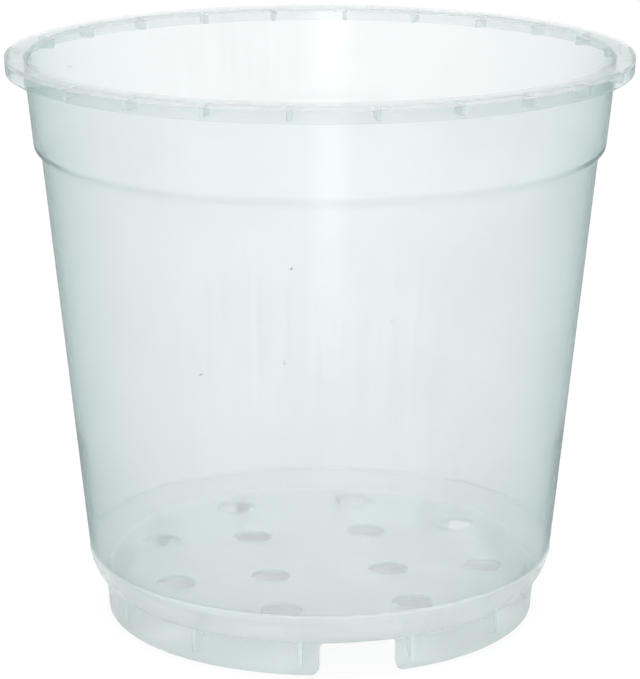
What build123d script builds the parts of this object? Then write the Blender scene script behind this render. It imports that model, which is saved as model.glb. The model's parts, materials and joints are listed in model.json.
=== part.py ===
from build123d import *
import math
import os

# Orchid pot of clear plastic, in millimetres, standing on z = 0 with its axis on Z.
# One foot slot faces -Y. The pot is a single moulding, given here as the pieces of its form,
# which meet face to face.

# Whole pot
pot_height = 138.5  # ground to the top of the rim
rim_diameter = 150.0  # at the rim's upper edge before it is rounded, the widest place
wall = 0.95  # collar, shoulder and side wall, measured level
draft = 5.55  # degrees of taper on every wall
rib_clearance = 0.15  # between a rib's end and the round wall beside it; its flat top is seated

# Rim
rim_overhang = 4.35  # collar's top edge out to the rim's upper edge
flange_thickness = 1.1
flange_edge = 0.4  # rounding of the flange's two upper edges
skirt_drop = 3.95  # top of the rim to the skirt's lower edge
skirt_lean = 0.2  # how far the skirt leans in over that drop
skirt_thickness = 0.9
rim_rib_count = 24
rim_rib_thickness = 1.1
rim_rib_rise = 0.4  # a rib's lower edge above the skirt's lower edge

# Collar and shoulder
collar_height = 21.9  # top of the rim to the shoulder
shoulder_height = 2.2
shoulder_step = 1.8  # how far the shoulder turns in
shoulder_radius = 1.2  # smaller rounding at each of its bends
shoulder_land = 1.5  # straight wall kept above and below the step

# Heel and floor
heel_rise = 7.1  # top of the foot to where the side wall starts to turn in
heel_inset = 3.75  # how far the foot stands inside the side wall
heel_land = 1.0  # straight wall kept above the turn
floor_lift = 2.6  # top of the slots to the underside of the floor
floor_thickness = 1.1
floor_fillet = 4.8  # inside rounding between floor and wall
gate_diameter = 5.0  # mark left by the filling gate, under the floor's centre
gate_depth = 0.4

# Drain holes, in two rings
hole_diameter = 9.5
hole_margin = 10.2  # flat floor's edge to the centres of the outer ring
outer_hole_count = 8
inner_hole_count = 4

# Foot
foot_height = 8.3  # also the height of the slots
foot_wall = 0.95  # at the ground
foot_names = ["foot_right", "foot_back", "foot_left"]
slot_width = 18.2
slot_corner = 1.1  # rounding at the top of a slot
foot_corner = 2.3  # rounding at the ground beside a slot
gussets_per_foot = 4
gusset_thickness = 1.1
gusset_reach = 7.0  # along the floor's underside
gusset_tip = 0.8  # width left at the lower end
gusset_clearance = 1.6  # lower end above the ground

# Heights and radii that follow
front = -90.0  # degrees, the way the first slot faces
taper = math.tan(math.radians(draft))
rim_radius = rim_diameter / 2
collar_top_radius = rim_radius - rim_overhang
flange_under = pot_height - flange_thickness
skirt_bottom = pot_height - skirt_drop
shoulder_top = pot_height - collar_height
shoulder_bottom = shoulder_top - shoulder_height
collar_bottom = shoulder_top + shoulder_land
side_top = shoulder_bottom - shoulder_land
floor_under = foot_height + floor_lift
floor_top = floor_under + floor_thickness
heel_turn = foot_height + heel_rise
fillet_top = floor_top + floor_fillet * (1 - math.sin(math.radians(draft)))
side_bottom = max(heel_turn, fillet_top) + heel_land


def collar_radius(z):
    return collar_top_radius - (pot_height - z) * taper


def side_radius(z):
    return collar_radius(shoulder_top) - shoulder_step - (shoulder_bottom - z) * taper


def skirt_radius(z):
    return rim_radius - (pot_height - z) * skirt_lean / skirt_drop


floor_radius = side_radius(fillet_top) - wall - floor_fillet * math.cos(math.radians(draft))
outer_hole_ring = floor_radius - hole_margin
inner_hole_ring = outer_hole_ring / 2
foot_top_radius = side_radius(heel_turn) - heel_inset
foot_ground_radius = foot_top_radius - foot_height * taper
foot_inside_radius = foot_ground_radius - foot_wall
slot_count = len(foot_names)
foot_pitch = 360 / slot_count


# Outlines are drawn as radius and height, and turned about Z
def outline(*edges):
    return Plane.XZ * make_face(list(edges))


def polygon(*points):
    return outline(Polyline(*points, close=True))


def turned(section):
    return revolve(section, Axis.Z)


def plate(section, thickness, radius, angle):
    # A thin rib that stands along a radius, with ends that follow the round walls it joins
    arc = math.degrees(thickness / radius)
    return Rot(0, 0, angle - arc / 2) * revolve(section, Axis.Z, arc)


def band(radius_at, low, high, thickness):
    return turned(
        polygon(
            (radius_at(low), low),
            (radius_at(high), high),
            (radius_at(high) - thickness, high),
            (radius_at(low) - thickness, low),
        )
    )


# Rim
def make_rim_flange():
    section = make_face(
        Polyline(
            (collar_radius(flange_under) - wall, flange_under),
            (skirt_radius(flange_under), flange_under),
            (skirt_radius(pot_height), pot_height),
            (collar_radius(pot_height) - wall, pot_height),
            close=True,
        )
    )
    upper = section.vertices().group_by(Axis.Y)[-1]
    return turned(Plane.XZ * fillet(upper, min(flange_edge, 0.8 * flange_thickness)))


def make_rim_skirt():
    return band(skirt_radius, skirt_bottom, flange_under, skirt_thickness)


def make_rim_rib(angle):
    low = skirt_bottom + rim_rib_rise
    skirt_end = skirt_thickness + rib_clearance
    section = polygon(
        (collar_radius(low) + rib_clearance, low),
        (skirt_radius(low) - skirt_end, low),
        (skirt_radius(flange_under) - skirt_end, flange_under),
        (collar_radius(flange_under) + rib_clearance, flange_under),
    )
    return plate(section, rim_rib_thickness, rim_radius, angle)


# Collar, shoulder and side wall
def make_collar():
    return band(collar_radius, collar_bottom, flange_under, wall)


def make_shoulder():
    lean = shoulder_step / shoulder_height
    rise = wall * (math.hypot(1, lean) - 1) / (lean - taper)  # keeps the step as thick as the wall
    wide_radius = shoulder_radius + wall
    outside = FilletPolyline(
        (side_radius(side_top), side_top),
        (side_radius(shoulder_bottom), shoulder_bottom),
        (collar_radius(shoulder_top), shoulder_top),
        (collar_radius(collar_bottom), collar_bottom),
        radius=[shoulder_radius, wide_radius],
    )
    inside = FilletPolyline(
        (side_radius(side_top) - wall, side_top),
        (side_radius(shoulder_bottom + rise) - wall, shoulder_bottom + rise),
        (collar_radius(shoulder_top + rise) - wall, shoulder_top + rise),
        (collar_radius(collar_bottom) - wall, collar_bottom),
        radius=[wide_radius, shoulder_radius],
    )
    lower = Line(outside @ 0, inside @ 0)
    upper = Line(outside @ 1, inside @ 1)
    return turned(outline(outside, upper, inside, lower))


def make_side_wall():
    return band(side_radius, side_bottom, side_top, wall)


# Heel and floor
def make_heel():
    outer_top = (side_radius(side_bottom), side_bottom)
    outer_turn = (side_radius(heel_turn), heel_turn)
    foot_outer = (foot_top_radius, foot_height)
    foot_inner = (foot_inside_radius, foot_height)
    under_outer = (foot_inside_radius, floor_under)
    under_inner = (floor_radius, floor_under)
    floor_edge = (floor_radius, floor_top)
    inner_turn = (side_radius(fillet_top) - wall, fillet_top)
    inner_top = (side_radius(side_bottom) - wall, side_bottom)
    return turned(
        outline(
            Line(outer_top, outer_turn),
            TangentArc(outer_turn, foot_outer, tangent=(-taper, -1)),
            Polyline(foot_outer, foot_inner, under_outer, under_inner, floor_edge),
            TangentArc(floor_edge, inner_turn, tangent=(1, 0)),
            Polyline(inner_turn, inner_top, outer_top),
        )
    )


def make_pot_floor():
    disc = Pos(0, 0, floor_under) * extrude(Circle(floor_radius), floor_thickness)
    gate = Pos(0, 0, floor_under - gate_depth) * extrude(Circle(gate_diameter / 2), gate_depth)
    drill = Pos(0, 0, floor_under) * extrude(Circle(hole_diameter / 2), floor_thickness)
    floor = disc + gate
    rings = [(outer_hole_ring, outer_hole_count), (inner_hole_ring, inner_hole_count)]
    for ring, count in rings:
        pitch = 360 / count
        for number in range(count):
            floor -= Rot(0, 0, front + (number + 0.5) * pitch) * Pos(ring, 0, 0) * drill
    return floor


# Foot
def slot_cutter():
    half = slot_width / 2
    low = min(foot_corner, 0.6 * foot_height)
    high = min(slot_corner, 0.3 * foot_height)
    diagonal = math.sqrt(0.5)
    ground = (half + low, 0)
    side_low = (half, low)
    side_high = (half, foot_height - high)
    top = (half - high, foot_height)
    low_middle = (half + low * (1 - diagonal), low * (1 - diagonal))
    high_middle = (half - high * (1 - diagonal), foot_height - high * (1 - diagonal))
    right = [
        ThreePointArc(ground, low_middle, side_low),
        Line(side_low, side_high),
        ThreePointArc(side_high, high_middle, top),
    ]
    left = [mirror(edge, Plane.YZ) for edge in right]
    bottom = Line((-ground[0], 0), ground)
    lintel = Line(top, (-top[0], top[1]))
    return extrude(outline(*right, lintel, *left, bottom), foot_top_radius)


def make_feet():
    ring = turned(
        polygon(
            (foot_ground_radius, 0),
            (foot_top_radius, foot_height),
            (foot_inside_radius, foot_height),
            (foot_inside_radius, 0),
        )
    )
    for number in range(slot_count):
        ring -= Rot(0, 0, number * foot_pitch) * slot_cutter()

    def turn_from_front(solid):
        centre = solid.center()
        return (math.degrees(math.atan2(centre.Y, centre.X)) - front) % 360

    return sorted(ring.solids(), key=turn_from_front)


def make_foot_gusset(angle):
    outer = foot_inside_radius - rib_clearance
    section = polygon(
        (outer - gusset_tip, gusset_clearance),
        (outer, gusset_clearance),
        (outer, floor_under),
        (outer - gusset_reach, floor_under),
    )
    return plate(section, gusset_thickness, outer, angle)


def make_pieces():
    pieces = {
        "rim_flange": make_rim_flange(),
        "rim_skirt": make_rim_skirt(),
        "collar": make_collar(),
        "shoulder": make_shoulder(),
        "side_wall": make_side_wall(),
        "heel": make_heel(),
        "pot_floor": make_pot_floor(),
    }
    for name, foot in zip(foot_names, make_feet()):
        pieces[name] = foot
    for number in range(rim_rib_count):
        angle = front + number * 360 / rim_rib_count
        pieces[f"rim_rib_{number + 1:02d}"] = make_rim_rib(angle)
    gusset_count = slot_count * gussets_per_foot
    for number in range(gusset_count):
        angle = front + (number + 0.5) * 360 / gusset_count
        pieces[f"foot_gusset_{number + 1:02d}"] = make_foot_gusset(angle)
    return pieces


os.makedirs("parts", exist_ok=True)
for node, piece in make_pieces().items():
    export_step(piece, f"parts/{node}.step")
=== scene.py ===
import json
import math

import bpy
from mathutils import Matrix, Vector


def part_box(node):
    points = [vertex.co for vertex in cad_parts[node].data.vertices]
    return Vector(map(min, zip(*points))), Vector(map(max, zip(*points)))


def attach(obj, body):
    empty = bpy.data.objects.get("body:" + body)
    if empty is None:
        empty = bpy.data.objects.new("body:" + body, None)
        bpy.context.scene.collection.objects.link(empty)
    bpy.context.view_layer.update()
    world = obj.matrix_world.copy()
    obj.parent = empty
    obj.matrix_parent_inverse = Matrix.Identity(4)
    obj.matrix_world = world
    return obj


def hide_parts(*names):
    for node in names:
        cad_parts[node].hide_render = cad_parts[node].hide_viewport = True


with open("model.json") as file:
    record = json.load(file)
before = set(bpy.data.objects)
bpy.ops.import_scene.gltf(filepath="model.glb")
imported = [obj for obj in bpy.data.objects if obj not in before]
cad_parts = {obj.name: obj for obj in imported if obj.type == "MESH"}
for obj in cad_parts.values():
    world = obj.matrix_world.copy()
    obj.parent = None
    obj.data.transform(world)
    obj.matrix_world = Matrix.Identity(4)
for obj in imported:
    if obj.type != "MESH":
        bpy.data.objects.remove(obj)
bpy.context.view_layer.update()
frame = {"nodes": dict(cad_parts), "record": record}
scene = bpy.context.scene
mm = 0.001
near = {  # how close counts as the same place
    "seam": 0.001 * mm,
    "corner": 0.002 * mm,
    "sliver": 0.004 * mm,  # what a cut may leave
    "level": 0.01 * mm,
}
openings = {hole["name"]: hole["box_m"] for hole in frame["record"]["physics"]["openings"]}
print("frame loaded:", len(frame["nodes"]), "nodes")


# selecting and drawing, as by hand
def deselectAll():
    if bpy.context.object and bpy.context.object.mode != "OBJECT":
        bpy.ops.object.mode_set(mode="OBJECT")
    bpy.ops.object.select_all(action="DESELECT")


def activate(piece):
    deselectAll()
    piece.select_set(True)
    bpy.context.view_layer.objects.active = piece


def pick(piece, kind, test):  # selects what passes the test, in edit mode
    bpy.ops.object.mode_set(mode="EDIT")
    bpy.ops.mesh.select_mode(type=kind)
    bpy.ops.mesh.select_all(action="DESELECT")
    bpy.ops.object.mode_set(mode="OBJECT")
    items = {"VERT": piece.data.vertices, "EDGE": piece.data.edges, "FACE": piece.data.polygons}
    for item in items[kind]:
        item.select = test(item)
    bpy.ops.object.mode_set(mode="EDIT")


def drawLine(name, corners, arcSteps=1):
    # a vertex is extruded from corner to corner in the XZ plane, rounded ones are bevelled
    # a corner is (x, z, radius)
    deselectAll()
    bpy.ops.mesh.primitive_plane_add(size=mm, location=(corners[0][0], 0, corners[0][1]))
    piece = bpy.context.object
    piece.name = piece.data.name = name
    bpy.ops.object.transform_apply(location=True)
    bpy.ops.object.mode_set(mode="EDIT")
    bpy.ops.mesh.select_mode(type="VERT")
    bpy.ops.mesh.select_all(action="SELECT")
    bpy.ops.mesh.merge(type="CENTER")
    for here, there in zip(corners, corners[1:]):
        step = (there[0] - here[0], 0, there[1] - here[1])
        bpy.ops.mesh.extrude_region_move(TRANSFORM_OT_translate={"value": step})
    for before, corner, after in zip(corners, corners[1:], corners[2:]):
        if corner[2]:
            roundCorner(piece, before, corner, after, arcSteps)
    return piece


def roundCorner(piece, before, corner, after, arcSteps):
    place = Vector((corner[0], 0, corner[1]))
    arriving = place - Vector((before[0], 0, before[1]))
    leaving = Vector((after[0], 0, after[1])) - place
    setback = corner[2] * math.tan(arriving.angle(leaving) / 2)  # corner to where the arc starts
    pick(piece, "VERT", lambda v: (v.co - place).length < near["corner"])
    bpy.ops.mesh.bevel(offset=setback, offset_type="OFFSET", segments=arcSteps, affect="VERTICES")


def turnLine(piece, steps):  # spins a drawn line round Z and closes seam and poles
    bpy.ops.mesh.select_all(action="SELECT")
    bpy.ops.mesh.spin(steps=steps, angle=2 * math.pi, center=(0, 0, 0), axis=(0, 0, 1))
    bpy.ops.mesh.select_all(action="SELECT")
    bpy.ops.mesh.remove_doubles(threshold=near["seam"])
    bpy.ops.mesh.normals_make_consistent(inside=False)
    bpy.ops.object.mode_set(mode="OBJECT")


def thickenLine(piece, thickness):  # fills a drawn line and extrudes it along Y, half to each side
    bpy.ops.mesh.select_all(action="SELECT")
    bpy.ops.mesh.edge_face_add()
    bpy.ops.transform.translate(value=(0, -thickness / 2, 0))
    bpy.ops.mesh.extrude_region_move(TRANSFORM_OT_translate={"value": (0, thickness, 0)})
    bpy.ops.mesh.select_all(action="SELECT")
    bpy.ops.mesh.normals_make_consistent(inside=False)
    bpy.ops.object.mode_set(mode="OBJECT")


def copyTo(piece, name, matrix):  # a copy with its own mesh, set in place in that mesh
    twin = piece.copy()
    twin.data = piece.data.copy()
    twin.name = twin.data.name = name
    scene.collection.objects.link(twin)
    twin.data.transform(matrix)
    return twin


def cutAway(piece, cutters):  # joins the cutters and takes them out of the piece
    activate(cutters[0])
    for cutter in cutters:
        cutter.select_set(True)
    bpy.ops.object.join()
    tool = bpy.context.object
    activate(piece)
    cut = piece.modifiers.new("cut", "BOOLEAN")
    cut.operation = "DIFFERENCE"
    cut.solver = "EXACT"
    cut.object = tool
    bpy.ops.object.modifier_apply(modifier=cut.name)
    bpy.data.objects.remove(tool)
    bpy.ops.object.mode_set(mode="EDIT")
    bpy.ops.mesh.select_all(action="SELECT")
    bpy.ops.mesh.remove_doubles(threshold=near["sliver"])
    bpy.ops.mesh.dissolve_degenerate(threshold=near["sliver"])
    bpy.ops.object.mode_set(mode="OBJECT")


def zRange(node):
    low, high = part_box(node)
    return low.z, high.z


def outerRadius(node):
    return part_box(node)[1].y


# heights and radii that the CAD frame gives
flangeUnder, rimTop = zRange("rim_flange")
skirtBottom = zRange("rim_skirt")[0]
collarBottom, collarTop = zRange("collar")
sideTop = zRange("side_wall")[1]
footTop = zRange("foot_back")[1]
gateBottom, floorTop = zRange("pot_floor")
rimRadius = outerRadius("rim_flange")
collarRadius = outerRadius("collar")
sideRadius = outerRadius("side_wall")
footRadius = outerRadius("foot_back")
taper = (collarRadius - outerRadius("shoulder")) / (collarTop - collarBottom)

# the long tapered wall, with the collar above it that a step sets off
wall = {
    "thickness": 0.95 * mm,
    "shoulderStep": 1.8 * mm,
    "shoulderHeight": 2.2 * mm,
    "shoulderRadius": 1.2 * mm,
    "shoulderLand": 1.5 * mm,
    "shoulderExtra": 0.15 * mm,  # more plastic inside the step
    "baseSeam": 16.4 * mm,  # height where wall and base meet
    "ringHeight": 47.7 * mm,  # fine groove that the mould leaves
    "ringWidth": 0.5 * mm,
    "ringDepth": 0.06 * mm,
    "gap": 0.02 * mm,  # left between two pieces that meet
    "steps": 288,  # faces round the pot
    "arcSteps": 4,  # faces in a rounding
}
shoulderTop = collarBottom - wall["shoulderLand"]
shoulderBottom = shoulderTop - wall["shoulderHeight"]
shoulderLean = wall["shoulderStep"] / wall["shoulderHeight"]
wideRadius = wall["shoulderRadius"] + wall["thickness"]


def collarAt(z):
    return collarRadius - (collarTop - z) * taper


def sideAt(z):
    return sideRadius - (sideTop - z) * taper


def shoulderRise():  # lift of the step's inside, for the wall's thickness and a little more
    even = wall["thickness"] * (math.hypot(1, shoulderLean) - 1) / (shoulderLean - taper)
    return even + wall["shoulderExtra"]


def makeWall():
    s = wall
    thick = s["thickness"]
    low = s["baseSeam"] + s["gap"]
    top = flangeUnder - s["gap"]
    rise = shoulderRise()
    ring = s["ringHeight"]
    start = (sideAt(low) - thick, low, 0)
    corners = [
        start,
        (sideAt(shoulderBottom + rise) - thick, shoulderBottom + rise, wideRadius),
        (collarAt(shoulderTop + rise) - thick, shoulderTop + rise, s["shoulderRadius"]),
        (collarAt(top) - thick, top, 0),
        (collarAt(top), top, 0),
        (collarAt(shoulderTop), shoulderTop, wideRadius),
        (sideAt(shoulderBottom), shoulderBottom, s["shoulderRadius"]),
        (sideAt(ring + s["ringWidth"] / 2), ring + s["ringWidth"] / 2, 0),
        (sideAt(ring) - s["ringDepth"], ring, 0),
        (sideAt(ring - s["ringWidth"] / 2), ring - s["ringWidth"] / 2, 0),
        (sideAt(low), low, 0),
        start,
    ]
    piece = drawLine("potWall", corners, s["arcSteps"])
    turnLine(piece, s["steps"])
    return piece


# flat lip round the mouth, and the skirt that hangs from it
rim = {
    "skirt": 0.9 * mm,
    "lean": 0.2 * mm,
    "mouthEdge": 0.35 * mm,  # roundings
    "edge": 0.35 * mm,
    "skirtEdge": 0.28 * mm,
}


def skirtAt(z):
    return rimRadius - (rimTop - z) * rim["lean"] / (rimTop - skirtBottom)


def makeFlange():
    s = rim
    start = (collarAt(flangeUnder) - wall["thickness"], flangeUnder, 0)
    corners = [
        start,
        (collarAt(rimTop) - wall["thickness"], rimTop, s["mouthEdge"]),
        (rimRadius, rimTop, s["edge"]),
        (skirtAt(flangeUnder), flangeUnder, 0),
        start,
    ]
    piece = drawLine("rimFlange", corners, wall["arcSteps"])
    turnLine(piece, wall["steps"])
    return piece


def makeSkirt():
    s = rim
    top = flangeUnder - wall["gap"]
    start = (skirtAt(top) - s["skirt"], top, 0)
    corners = [
        start,
        (skirtAt(top), top, 0),
        (skirtAt(skirtBottom), skirtBottom, s["skirtEdge"]),
        (skirtAt(skirtBottom) - s["skirt"], skirtBottom, s["skirtEdge"]),
        start,
    ]
    piece = drawLine("rimSkirt", corners, wall["arcSteps"])
    turnLine(piece, wall["steps"])
    return piece


# floor, heel and foot
base = {
    "floorFillet": 4.8 * mm,
    "floorThickness": 1.1 * mm,
    "heelTurn": 15.4 * mm,  # where the wall starts to turn in
    "heelRound": 0.999,  # share of the full rounding, so that its ends stay apart from the corners
    "beadHeight": 0.7 * mm,  # fine raised line at that turn
    "beadRise": 0.12 * mm,
    "footWall": 0.95 * mm,
    "gateRadius": 2.5 * mm,
    "gateTip": 0.9,  # share of that radius at its end
    "insideEdge": 0.5 * mm,  # roundings
    "groundEdge": 0.2 * mm,
}
floorUnder = floorTop - base["floorThickness"]
insideRadius = footRadius - footTop * taper - base["footWall"]  # of the foot ring


def makeBase():
    s = base
    seam = wall["baseSeam"]
    turn = Vector((sideAt(s["heelTurn"]), s["heelTurn"]))
    chord = Vector((footRadius, footTop)) - turn
    down = Vector((-taper, -1)).normalized()
    setback = chord.length / 2 / (chord.normalized() @ down)
    heelCorner = turn + down * setback  # the corner that the heel rounds off
    heelRadius = setback / math.tan(chord.angle(down))
    bead = s["beadHeight"] / 2
    corners = [
        (0, floorTop, 0),
        (sideAt(floorTop) - wall["thickness"], floorTop, s["floorFillet"]),
        (sideAt(seam) - wall["thickness"], seam, 0),
        (sideAt(seam), seam, 0),
        (sideAt(turn.y + 2 * bead), turn.y + 2 * bead, 0),
        (sideAt(turn.y + bead) + s["beadRise"], turn.y + bead, s["beadRise"]),
        (turn.x, turn.y, 0),
        (heelCorner.x, heelCorner.y, heelRadius * s["heelRound"]),
        (footRadius, footTop, 0),
        (insideRadius + s["footWall"], 0, s["groundEdge"]),
        (insideRadius, 0, s["groundEdge"]),
        (insideRadius, floorUnder, s["insideEdge"]),
        (s["gateRadius"], floorUnder, 0),
        (s["gateRadius"] * s["gateTip"], gateBottom, 0),
        (0, gateBottom, 0),
    ]
    piece = drawLine("potBase", corners, wall["arcSteps"])
    turnLine(piece, wall["steps"])
    cutAway(piece, makeSlotCutters())
    cutAway(piece, makeHoleCutters())
    return piece


def tintBase(piece):  # the heel outside and the floor inside are milkier than the foot
    tint = {"heel": 1, "floor": 2, "fillet": 3}  # material slots after the foot's own
    for name in tint:
        piece.data.materials.append(plastics[name])
    floorEdge = sideAt(floorTop) - wall["thickness"] - base["floorFillet"]
    for face in piece.data.polygons:
        facing = face.normal.xy.dot(face.center.xy)  # outwards above 0
        if face.center.xy.length < floorEdge:
            face.material_index = tint["floor"]
        # the inside rounding takes a darker tint: partly absorption, partly painted shade
        elif facing < 0 and face.center.z > floorTop:
            face.material_index = tint["fillet"]
        elif facing > 0 and face.center.z > footTop + near["level"]:
            face.material_index = tint["heel"]


# slots in the foot
slots = {
    "names": ["slot_front", "slot_right", "slot_left"],
    "width": 18.2 * mm,
    "topRadius": 1.1 * mm,
    "groundRadius": 2.3 * mm,
    "depth": 14 * mm,  # of the cutter, across the foot's wall
    "arcSteps": 6,
}


def makeSlotCutters():
    s = slots
    half = s["width"] / 2
    out = half + 2 * s["groundRadius"]
    under = -1 * mm  # lower edge of the cutter
    ground = -0.02 * mm  # its roundings end just under the foot
    right = [
        (out, under, 0),
        (out, ground, 0),
        (half, ground, s["groundRadius"]),
        (half, footTop, s["topRadius"]),
    ]
    left = [(-x, z, radius) for x, z, radius in reversed(right)]
    cutter = drawLine("slotCutter", right + left, s["arcSteps"])
    thickenLine(cutter, s["depth"])
    cutters = []
    for name in s["names"]:
        low, high = openings[name]
        angle = math.atan2(low[1] + high[1], low[0] + high[0])
        turn = Matrix.Rotation(angle + math.pi / 2, 4, "Z")
        cutters.append(copyTo(cutter, name, turn @ Matrix.Translation((0, -footRadius, 0))))
    bpy.data.objects.remove(cutter)
    return cutters


# drain holes in the floor
holes = {
    "diameter": 9.5 * mm,
    "edge": 0.35 * mm,  # rounding at both ends
    "steps": 48,
    "arcSteps": 4,
}


def makeHoleCutters():
    s = holes
    radius = s["diameter"] / 2
    spare = 1 * mm  # how far the cutter's ends reach past the hole
    wide = radius + spare
    proud = 0.02 * mm  # cutter's shoulders stand this far off the floor
    corners = [
        (0, floorTop + spare, 0),
        (wide, floorTop + spare, 0),
        (wide, floorTop + proud, 0),
        (radius, floorTop + proud, s["edge"]),
        (radius, floorUnder - proud, s["edge"]),
        (wide, floorUnder - proud, 0),
        (wide, floorUnder - spare, 0),
        (0, floorUnder - spare, 0),
    ]
    cutter = drawLine("holeCutter", corners, s["arcSteps"])
    turnLine(cutter, s["steps"])
    cutters = []
    for name, (low, high) in openings.items():
        if name.startswith("drain_hole"):
            place = Matrix.Translation(((low[0] + high[0]) / 2, (low[1] + high[1]) / 2, 0))
            cutters.append(copyTo(cutter, name, place))
    bpy.data.objects.remove(cutter)
    return cutters


smoothAngle = math.radians(35)  # sharper edges stay sharp


def finishPiece(piece, plastic, *nodes):
    activate(piece)
    bpy.ops.object.shade_smooth_by_angle(angle=smoothAngle)
    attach(piece, "root")
    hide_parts(*nodes)
    piece.data.materials.clear()
    piece.data.materials.append(plastic)


def turnTo(node):  # from the +X side to where the CAD node stands
    low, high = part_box(node)
    angle = math.atan2(low.y + high.y, low.x + high.x)
    return Matrix.Rotation(angle, 4, "Z")


# small ribs between skirt and collar, under the rim
rimRib = {
    "count": 24,
    "thickness": 1.1 * mm,
    "tip": 0.8,  # share of the thickness left at the lower edge
    "rise": 0.4 * mm,  # above the skirt's lower edge
    "root": 0.12 * mm,  # how far a rib runs into the walls that it joins
    "edge": 0.2 * mm,
    "edgeSteps": 2,
}


def makeRimRib():
    s = rimRib
    low = skirtBottom + s["rise"]
    top = flangeUnder + s["root"]
    corners = [
        (collarAt(top) - s["root"], top, 0),
        (collarAt(low) - s["root"], low, 0),
        (skirtAt(low) - rim["skirt"] + s["root"], low, 0),
        (skirtAt(top) - rim["skirt"] + s["root"], top, 0),
    ]
    piece = drawLine("rimRib", corners)
    thickenLine(piece, s["thickness"])
    softenTip(piece, low, s)
    return piece


def softenTip(piece, low, s):  # narrows a rib's lower edge and rounds it
    def isLowest(edge):
        ends = [piece.data.vertices[number].co.z for number in edge.vertices]
        return all(abs(z - low) < near["level"] for z in ends)

    pick(piece, "EDGE", isLowest)
    bpy.ops.transform.resize(value=(1, s["tip"], 1))
    bpy.ops.mesh.select_mode(type="EDGE")
    bpy.ops.mesh.bevel(offset=s["edge"], segments=s["edgeSteps"], affect="EDGES")
    bpy.ops.object.mode_set(mode="OBJECT")


# triangular ribs between the foot and the floor
gusset = {
    "count": 12,
    "thickness": 1.1 * mm,
    "tip": 0.9,
    "reach": 7.0 * mm,  # along the floor
    "width": 0.8 * mm,  # left at the lower end
    "clearance": 1.6 * mm,  # lower end above the ground
    "root": 0.12 * mm,
    "edge": 0.2 * mm,
    "edgeSteps": 2,
}


def makeGusset():
    s = gusset
    low = s["clearance"]
    top = floorUnder + s["root"]
    corners = [
        (insideRadius + s["root"], top, 0),
        (insideRadius - s["reach"], top, 0),
        (insideRadius - s["width"], low, 0),
        (insideRadius + s["root"], low, 0),
    ]
    piece = drawLine("footGusset", corners)
    thickenLine(piece, s["thickness"])
    softenTip(piece, low, s)
    return piece


# nodes for the materials
def setInput(tree, socket, value):  # links a socket, or sets a plain value
    if isinstance(value, bpy.types.NodeSocket):
        tree.links.new(value, socket)
    else:
        socket.default_value = value


def addMath(tree, operation, first, second=0.0, clamp=False):
    node = tree.nodes.new("ShaderNodeMath")
    node.operation = operation
    node.use_clamp = clamp
    setInput(tree, node.inputs[0], first)
    setInput(tree, node.inputs[1], second)
    return node.outputs[0]


def addMix(tree, factor, low, high):
    node = tree.nodes.new("ShaderNodeMix")
    for name, value in (("Factor", factor), ("A", low), ("B", high)):
        setInput(tree, node.inputs[name], value)
    return node.outputs["Result"]


def addRamp(tree, value, low, high):  # 0 up to low, 1 from high on
    node = tree.nodes.new("ShaderNodeMapRange")
    node.interpolation_type = "SMOOTHSTEP"
    setInput(tree, node.inputs["Value"], value)
    node.inputs["From Min"].default_value = low
    node.inputs["From Max"].default_value = high
    return node.outputs["Result"]


def addVector(tree, x, y, z):
    node = tree.nodes.new("ShaderNodeCombineXYZ")
    for name, value in (("X", x), ("Y", y), ("Z", z)):
        setInput(tree, node.inputs[name], value)
    return node.outputs["Vector"]


def addNoise(tree, vector, scale, detail):
    node = tree.nodes.new("ShaderNodeTexNoise")
    node.inputs["Scale"].default_value = scale
    node.inputs["Detail"].default_value = detail
    tree.links.new(vector, node.inputs["Vector"])
    return node.outputs["Fac"]


# marks that moulding leaves in the plastic: flow lines up the wall, clouds and specks
mouldMarks = {
    "lineWidth": 1.3 * mm,
    "lineHeight": 55 * mm,
    "linePatch": 45 * mm,  # lines gather in patches of this size
    "patchLow": 0.4,  # noise levels between which a patch fades in
    "patchHigh": 0.62,
    "lineRelief": 4,  # height of the lines against the grain
    "cloudSize": 28 * mm,
    "grainSize": 1.1 * mm,
    "speckSpacing": 24 * mm,
    "speckSize": 0.24 * mm,  # radius of the largest
    "speckShare": 0.5,  # of the cells have one
    "speckShade": 0.35,
    "speckTilt": 0.5,  # specks keep to walls whose normal is flatter than this
}
noiseMiddle = 0.5  # level that a noise lies round


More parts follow.
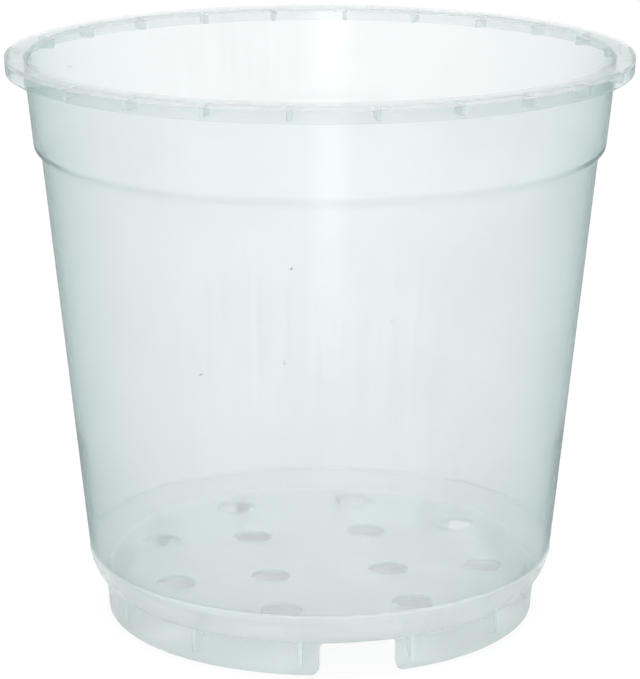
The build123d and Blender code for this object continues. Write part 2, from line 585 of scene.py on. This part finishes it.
def makeMouldGroup():
    s = mouldMarks
    group = bpy.data.node_groups.new("mouldMarks", "ShaderNodeTree")
    for name in ("Lines", "Clouds", "Specks"):
        group.interface.new_socket(name, in_out="INPUT", socket_type="NodeSocketFloat")
    for name in ("Shade", "Height"):
        group.interface.new_socket(name, in_out="OUTPUT", socket_type="NodeSocketFloat")
    given = group.nodes.new("NodeGroupInput")
    result = group.nodes.new("NodeGroupOutput")
    place = group.nodes.new("ShaderNodeTexCoord").outputs["Object"]
    split = group.nodes.new("ShaderNodeSeparateXYZ")
    group.links.new(place, split.inputs["Vector"])
    x, y, z = split.outputs
    angle = addMath(group, "ARCTAN2", y, x)

    # lines lie along the wall: noise on a circle, drawn out in height
    girth = sideRadius / s["lineWidth"]  # radius in line widths
    around = addVector(
        group,
        addMath(group, "MULTIPLY", addMath(group, "COSINE", angle), girth),
        addMath(group, "MULTIPLY", addMath(group, "SINE", angle), girth),
        addMath(group, "DIVIDE", z, s["lineHeight"]),
    )
    lines = addMath(group, "SUBTRACT", addNoise(group, around, scale=1, detail=2), noiseMiddle)
    patch = addNoise(group, place, 1 / s["linePatch"], detail=1)
    patch = addRamp(group, patch, s["patchLow"], s["patchHigh"])
    lines = addMath(group, "MULTIPLY", lines, patch)
    lines = addMath(group, "MULTIPLY", lines, given.outputs["Lines"])
    clouds = addNoise(group, place, 1 / s["cloudSize"], detail=3)
    clouds = addMath(group, "SUBTRACT", clouds, noiseMiddle)
    clouds = addMath(group, "MULTIPLY", clouds, given.outputs["Clouds"])

    # specks: one small dot in some of the cells that cover the wall
    cells = group.nodes.new("ShaderNodeTexVoronoi")
    cells.voronoi_dimensions = "2D"
    cells.inputs["Scale"].default_value = 1 / s["speckSpacing"]
    along = addMath(group, "MULTIPLY", angle, sideRadius)
    group.links.new(addVector(group, along, z, 0), cells.inputs["Vector"])
    chance = group.nodes.new("ShaderNodeSeparateColor")
    group.links.new(cells.outputs["Color"], chance.inputs["Color"])
    largest = s["speckSize"] / s["speckSpacing"]
    share = addRamp(group, chance.outputs["Red"], 1 - s["speckShare"], 1)
    reach = addMath(group, "MULTIPLY", share, largest)
    specks = addMath(group, "LESS_THAN", cells.outputs["Distance"], reach)
    geometry = group.nodes.new("ShaderNodeNewGeometry")
    normal = group.nodes.new("ShaderNodeSeparateXYZ")
    group.links.new(geometry.outputs["Normal"], normal.inputs["Vector"])
    tilt = addMath(group, "ABSOLUTE", normal.outputs["Z"])
    specks = addMath(group, "MULTIPLY", specks, addMath(group, "LESS_THAN", tilt, s["speckTilt"]))
    specks = addMath(group, "MULTIPLY", specks, given.outputs["Specks"])

    shade = addMath(group, "ADD", addMath(group, "ADD", lines, clouds), 1)
    shade = addMath(group, "MULTIPLY", shade, addMix(group, specks, 1, s["speckShade"]))
    grain = addNoise(group, place, 1 / s["grainSize"], detail=2)
    relief = addMath(group, "MULTIPLY", lines, s["lineRelief"])
    group.links.new(shade, result.inputs["Shade"])
    group.links.new(addMath(group, "ADD", relief, grain), result.inputs["Height"])
    return group


# milky clear plastic: clear is the share of light that goes through, density is per metre
plasticDepth = (0.04, 0.36, 0.345, 1)
looks = {
    "wall": {"color": (0.975, 0.968, 0.968), "clear": 0.9, "density": 135, "specks": 1},
    "flange": {"color": (0.95, 0.935, 0.935), "clear": 0.84, "density": 60},
    "skirt": {"color": (0.976, 0.967, 0.967), "clear": 0.98, "density": 140},
    "rib": {"color": (0.954, 0.969, 0.967), "clear": 0.72, "density": 45},
    "base": {"color": (0.885, 0.945, 0.94), "clear": 0.87},
    "heel": {"color": (0.88, 0.924, 0.919), "clear": 0.72},
    "floor": {"color": (0.885, 0.925, 0.92), "clear": 0.58},
    "fillet": {"color": (0.82, 0.865, 0.86), "clear": 0.86},  # inside rounding of the floor; its darker tint stands partly for absorption in the plastic and is partly painted shade against the light it faces
    "gusset": {"color": (0.965, 0.99, 0.985), "clear": 0.55},
}
finish = {
    "ior": 1.02,  # thin wall: light goes nearly straight through
    "roughness": 0.26,
    "coat": 0.2,
    "coatRoughness": 0.15,
    "paintedCollarLight": 1.023,  # painted light: the colour is lifted above the step, standing in for more light falling in from above
    "lines": 0.06,
    "clouds": 0.08,
    "bump": 0.12,
    "bumpDepth": 0.05 * mm,
}
mouldGroup = makeMouldGroup()


def makePlastic(name, look):
    material = bpy.data.materials.new(name)
    material.use_nodes = True
    tree = material.node_tree
    bsdf = tree.nodes["Principled BSDF"]
    marks = tree.nodes.new("ShaderNodeGroup")
    marks.node_tree = mouldGroup
    marks.inputs["Lines"].default_value = finish["lines"]
    marks.inputs["Clouds"].default_value = finish["clouds"]
    marks.inputs["Specks"].default_value = look.get("specks", 0)
    tint = tree.nodes.new("ShaderNodeVectorMath")
    tint.operation = "SCALE"
    tint.inputs["Vector"].default_value = look["color"]
    place = tree.nodes.new("ShaderNodeTexCoord")
    split = tree.nodes.new("ShaderNodeSeparateXYZ")
    tree.links.new(place.outputs["Object"], split.inputs["Vector"])
    # painted light: above the shoulder step the base colour is lifted, for the light that falls in
    # there from above
    above = addRamp(tree, split.outputs["Z"], shoulderBottom, shoulderTop)
    paintedLight = addMix(tree, above, 1, finish["paintedCollarLight"])
    tree.links.new(addMath(tree, "MULTIPLY", marks.outputs["Shade"], paintedLight), tint.inputs["Scale"])
    tree.links.new(tint.outputs["Vector"], bsdf.inputs["Base Color"])
    bump = tree.nodes.new("ShaderNodeBump")
    bump.inputs["Strength"].default_value = finish["bump"]
    bump.inputs["Distance"].default_value = finish["bumpDepth"]
    tree.links.new(marks.outputs["Height"], bump.inputs["Height"])
    tree.links.new(bump.outputs["Normal"], bsdf.inputs["Normal"])
    bsdf.inputs["Transmission Weight"].default_value = look["clear"]
    bsdf.inputs["Roughness"].default_value = finish["roughness"]
    bsdf.inputs["IOR"].default_value = finish["ior"]
    bsdf.inputs["Coat Weight"].default_value = finish["coat"]
    bsdf.inputs["Coat Roughness"].default_value = finish["coatRoughness"]
    if "density" in look:
        depth = tree.nodes.new("ShaderNodeVolumeAbsorption")
        depth.inputs["Color"].default_value = plasticDepth
        depth.inputs["Density"].default_value = look["density"]
        tree.links.new(depth.outputs["Volume"], tree.nodes["Material Output"].inputs["Volume"])
    return material


plastics = {name: makePlastic(name + "Plastic", look) for name, look in looks.items()}
print("plastics mixed")

finishPiece(makeWall(), plastics["wall"], "side_wall", "shoulder", "collar")
finishPiece(makeFlange(), plastics["flange"], "rim_flange")
finishPiece(makeSkirt(), plastics["skirt"], "rim_skirt")
potBase = makeBase()
finishPiece(potBase, plastics["base"], "heel", "pot_floor", "foot_right", "foot_back", "foot_left")
tintBase(potBase)
print("wall, collar, rim and base modelled")

for maker, count, plastic, node, name in (
    (makeRimRib, rimRib["count"], plastics["rib"], "rim_rib", "underRimRib"),
    (makeGusset, gusset["count"], plastics["gusset"], "foot_gusset", "footGusset"),
):
    first = maker()
    for number in range(1, count + 1):
        cadNode = f"{node}_{number:02d}"
        finishPiece(copyTo(first, f"{name}_{number:02d}", turnTo(cadNode)), plastic, cadNode)
    bpy.data.objects.remove(first)
    print(count, "copies of", node, "set in place")


# camera at the photograph's angle
shot = {
    "azimuth": -9.8,
    "distance": 667.2 * mm,  # along the ground, to the pot's axis
    "height": 246.6 * mm,
    "pitch": 15.065,  # degrees downwards
    "focal": 2819.7,  # in pixels of a picture 679 pixels high
    "pictureHeight": 679,
    "sensor": 36,
}


def makeCamera():
    azimuth = math.radians(shot["azimuth"])
    x = math.sin(azimuth) * shot["distance"]
    y = -math.cos(azimuth) * shot["distance"]
    bpy.ops.object.camera_add(
        location=(x, y, shot["height"]),
        rotation=(math.radians(90 - shot["pitch"]), 0, azimuth),
    )
    camera = bpy.context.object
    camera.data.sensor_width = shot["sensor"]
    camera.data.lens = shot["focal"] * shot["sensor"] / shot["pictureHeight"]
    scene.camera = camera


makeCamera()


# pale floor and soft studio light
stage = {
    "floorSize": 8,
    "floorDrop": 0.5 * mm,  # under the foot, so that light reaches its lower edge
    "floorColor": 0.8,  # as it lights the pot
    "clearColor": 0.7,  # as the lens sees it through the plastic and in gloss, with this glow
    "clearGlow": 0.2,
    "lensColor": 0.12,  # and with nothing between
    "lensGlow": 0.88,
    "skyLow": 0.6,  # world level at the horizon, for all but what the lens sees
    "skyHigh": 2.8,  # and overhead
    "skyPower": 6,  # how fast it falls off from there
}
lamps = {
    "front": {
        "azimuth": -9.8,
        "elevation": 24,
        "distance": 2.5,
        "width": 1.0,
        "height": 1.0,
        "power": 18,
    },
    "glint": {  # streak of light in the far side of the collar
        "azimuth": -14.15,
        "elevation": 6.8,
        "distance": 2.5,
        "width": 0.65,
        "height": 0.5,
        "power": 10,
    },
}


def addSeen(tree):  # what the lens sees directly, and also in gloss or through the plastic
    path = tree.nodes.new("ShaderNodeLightPath")
    lens = path.outputs["Is Camera Ray"]
    gloss = path.outputs["Is Glossy Ray"]
    clear = addMath(tree, "ADD", gloss, path.outputs["Is Transmission Ray"], clamp=True)
    straight = addMath(tree, "LESS_THAN", path.outputs["Diffuse Depth"], 0.5)  # not scattered before
    seen = addMath(tree, "MULTIPLY", addMath(tree, "ADD", lens, clear, clamp=True), straight)
    return lens, seen


def makeStage():
    deselectAll()
    bpy.ops.mesh.primitive_plane_add(size=stage["floorSize"], location=(0, 0, -stage["floorDrop"]))
    floor = bpy.context.object
    floor.name = "paleFloor"
    material = bpy.data.materials.new("paleFloor")
    material.use_nodes = True
    tree = material.node_tree
    tree.nodes.remove(tree.nodes["Principled BSDF"])
    lens, seen = addSeen(tree)
    matte = tree.nodes.new("ShaderNodeBsdfDiffuse")
    color = addMix(tree, lens, stage["clearColor"], stage["lensColor"])
    tree.links.new(addMix(tree, seen, stage["floorColor"], color), matte.inputs["Color"])
    glow = tree.nodes.new("ShaderNodeEmission")
    level = addMix(tree, lens, stage["clearGlow"], stage["lensGlow"])
    tree.links.new(addMath(tree, "MULTIPLY", seen, level), glow.inputs["Strength"])
    add = tree.nodes.new("ShaderNodeAddShader")
    tree.links.new(matte.outputs[0], add.inputs[0])
    tree.links.new(glow.outputs[0], add.inputs[1])
    tree.links.new(add.outputs[0], tree.nodes["Material Output"].inputs["Surface"])
    floor.data.materials.append(material)


def makeWorld():
    world = bpy.data.worlds.new("studio")
    scene.world = world
    world.use_nodes = True
    tree = world.node_tree
    background = tree.nodes["Background"]
    background.inputs["Color"].default_value = (1, 1, 1, 1)
    place = tree.nodes.new("ShaderNodeTexCoord")
    split = tree.nodes.new("ShaderNodeSeparateXYZ")
    tree.links.new(place.outputs["Generated"], split.inputs["Vector"])
    up = addMath(tree, "POWER", addMath(tree, "MAXIMUM", split.outputs["Z"], 0), stage["skyPower"])
    sky = addMix(tree, up, stage["skyLow"], stage["skyHigh"])
    seen = addSeen(tree)[1]
    tree.links.new(addMix(tree, seen, sky, 1), background.inputs["Strength"])


def makeLamp(name, s):
    azimuth, elevation = math.radians(s["azimuth"]), math.radians(s["elevation"])
    away = Vector((
        math.sin(azimuth) * math.cos(elevation),
        -math.cos(azimuth) * math.cos(elevation),
        math.sin(elevation),
    ))
    centre = Vector((0, 0, rimTop / 2))
    bpy.ops.object.light_add(type="AREA", location=centre + away * s["distance"])
    lamp = bpy.context.object
    lamp.name = name
    lamp.rotation_euler = away.to_track_quat("Z", "Y").to_euler()
    lamp.data.shape = "RECTANGLE"
    lamp.data.size = s["width"]
    lamp.data.size_y = s["height"]
    lamp.data.energy = s["power"]
    lamp.visible_camera = False


makeStage()
makeWorld()
for lampName, lampValues in lamps.items():
    makeLamp(lampName, lampValues)
scene.view_settings.view_transform = "Standard"
print("stage and light set")
